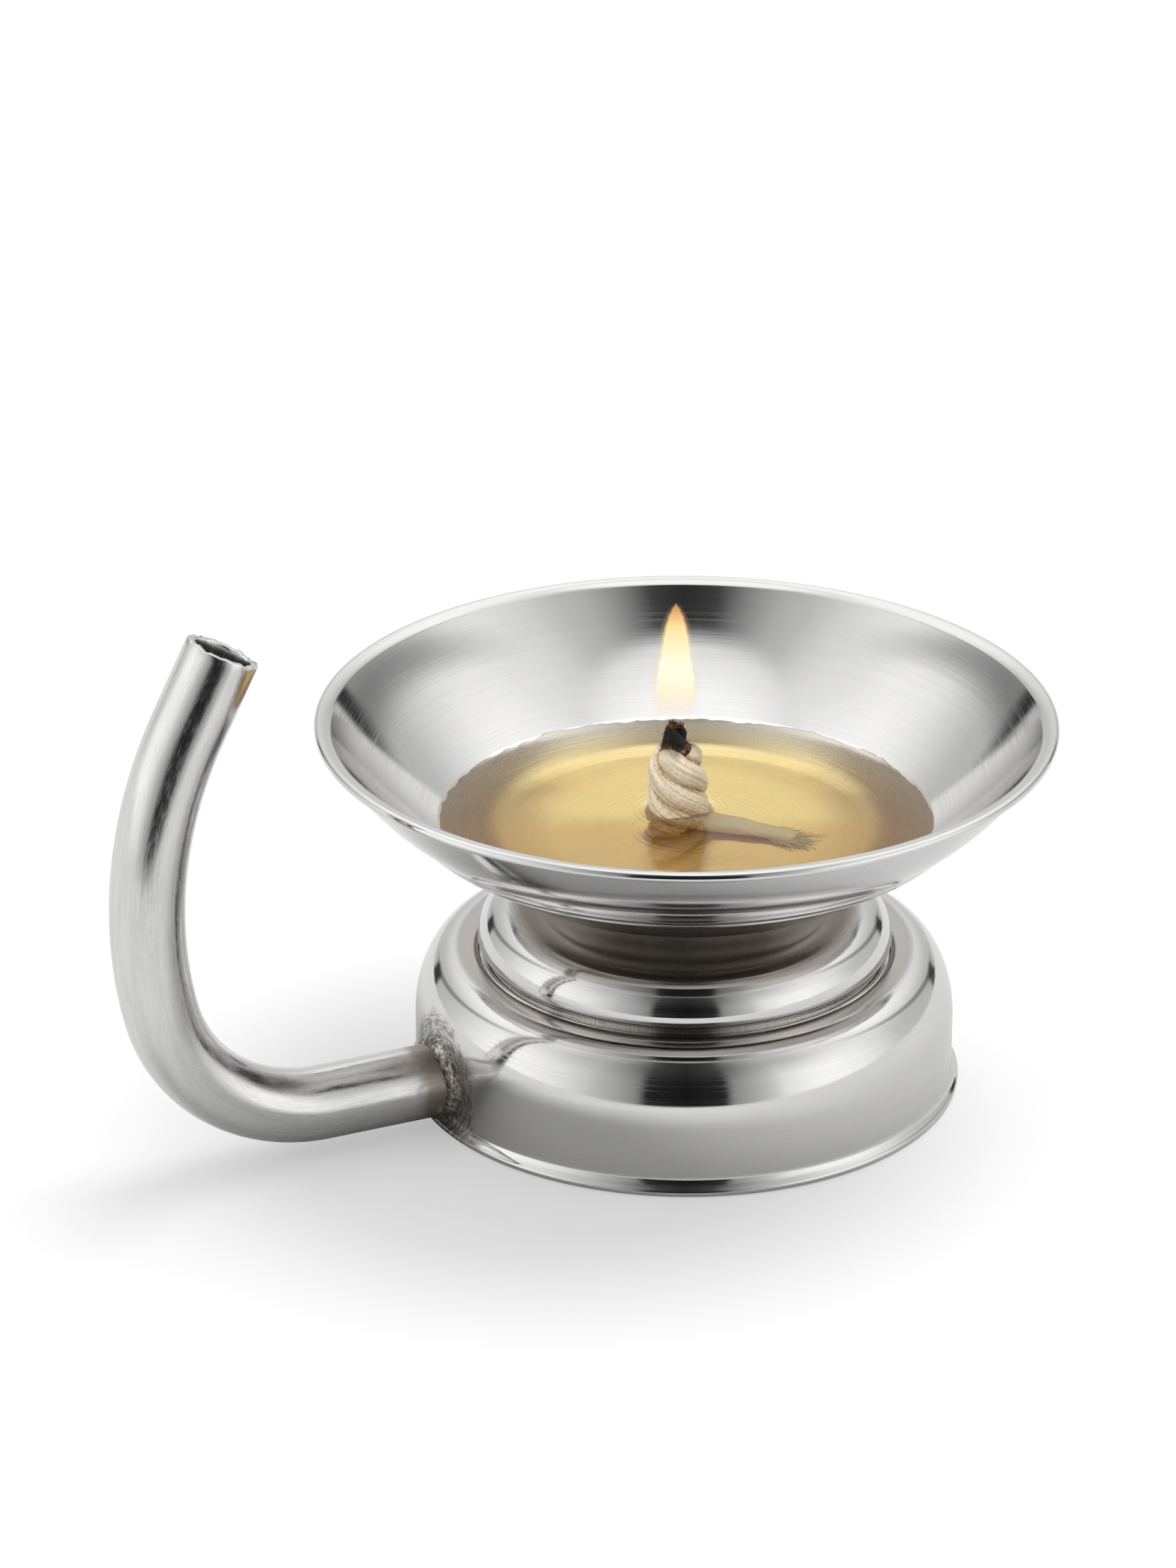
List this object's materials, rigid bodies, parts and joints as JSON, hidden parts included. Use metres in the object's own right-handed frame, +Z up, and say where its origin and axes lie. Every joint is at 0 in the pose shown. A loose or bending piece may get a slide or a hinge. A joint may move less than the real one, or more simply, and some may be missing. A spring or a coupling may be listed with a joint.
{
  "type": "oil lamp",
  "caption": "Hand-held oil lamp: a spun steel bowl with oil and a twisted wick on a round two-tier base, with a bent tube handle.",
  "frame": {"origin": "on the lamp's axis, on the plane that its foot stands on", "axes": "+Z up along the lamp's axis; -X towards the handle; +Y to the side"},
  "size_m": [0.1327, 0.1, 0.0765],
  "materials": {
    "polished_steel": "satin polished stainless steel with faint spin lines",
    "tube_steel": "satin stainless steel tube, heat-tinted brown at the weld",
    "weld_steel": "ground weld, scratched and bright",
    "cotton": "twisted cotton, soaked with oil",
    "char": "burnt cotton, black with a brown fringe",
    "lamp_oil": "clear golden lamp oil"
  },
  "bodies": {
    "lamp": {"oil_bowl": "polished_steel", "pedestal_cap": "polished_steel", "base_drum": "polished_steel", "tier_seam": "weld_steel", "neck_weld": "weld_steel", "handle_tube": "tube_steel", "handle_weld": "weld_steel", "oil": "lamp_oil"},
    "wick": {"wick_ply_1": "cotton", "wick_ply_2": "cotton", "wick_ply_3": "cotton", "wick_char": "char", "wick_tail": "cotton"}
  },
  "joints": [
    {"name": "wick_lift", "type": "slide", "parent": "lamp", "child": "wick", "axis": [0, 0, 1], "range_m": [0, 0.03], "deforming": ["oil"]}
  ]
}
